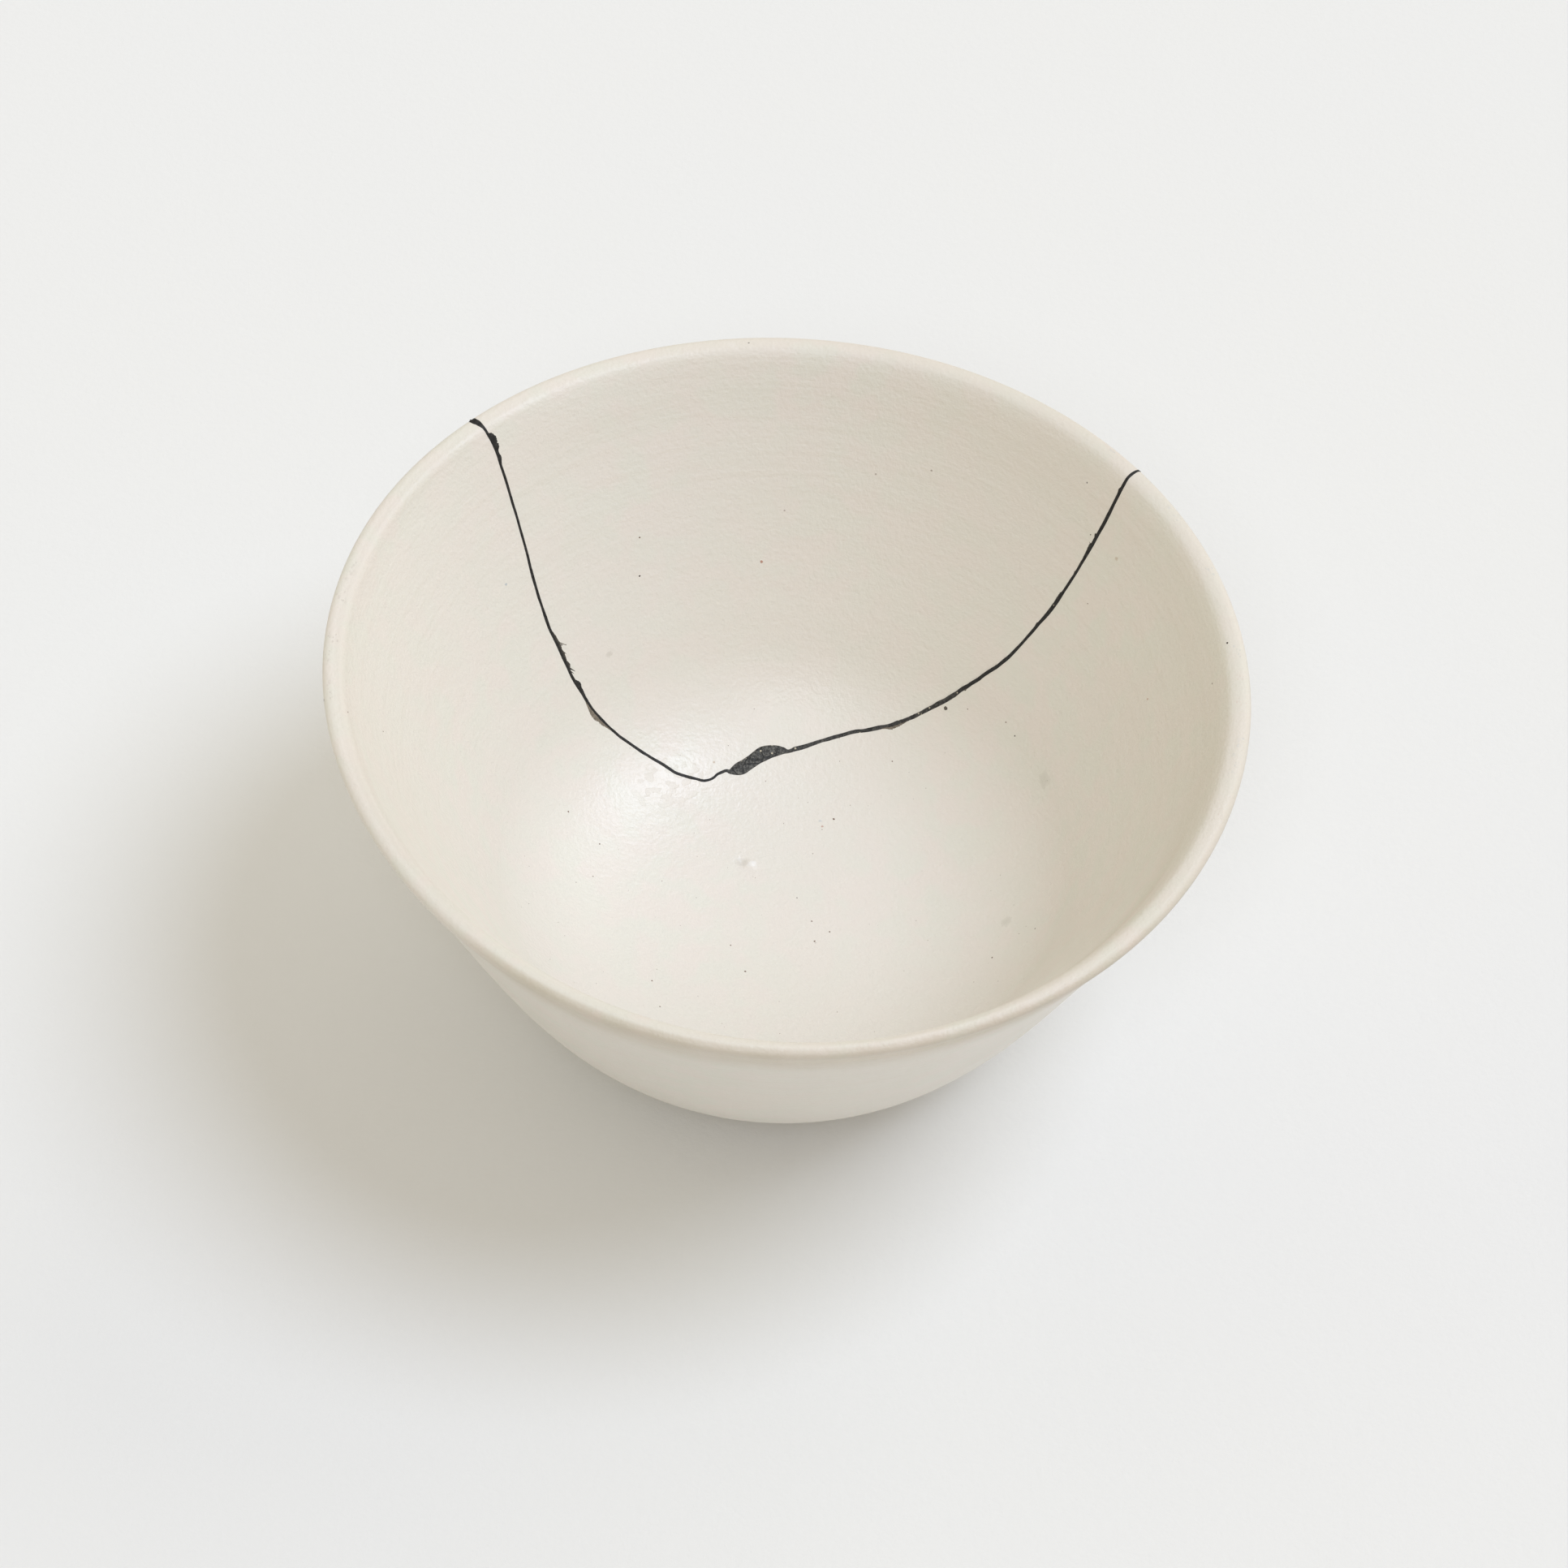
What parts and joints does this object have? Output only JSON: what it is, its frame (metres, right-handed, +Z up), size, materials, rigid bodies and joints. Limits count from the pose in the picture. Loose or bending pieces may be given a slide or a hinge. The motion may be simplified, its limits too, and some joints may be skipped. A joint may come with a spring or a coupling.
{
  "type": "mended ceramic bowl",
  "caption": "Small wheel-thrown ceramic bowl with matt cream glaze and a low foot ring, broken from rim to rim and mended with a black filler.",
  "frame": {"origin": "middle of the foot ring's bearing face, on the surface that the bowl stands on", "axes": "+Z up along the bowl's axis, towards the rim; +Y towards the mended break at the back; +X to the right in the picture's view"},
  "size_m": [0.138, 0.142, 0.0686],
  "materials": {
    "cream_glaze": "matt cream glaze over stoneware, with fine iron specks",
    "black_filler": "black lacquer-like filler, satin, slightly granular where it is wide"
  },
  "bodies": {
    "root": {"bowl_body": "cream_glaze", "rejoined_shard": "cream_glaze", "black_mend_seam": "black_filler"}
  },
  "joints": []
}
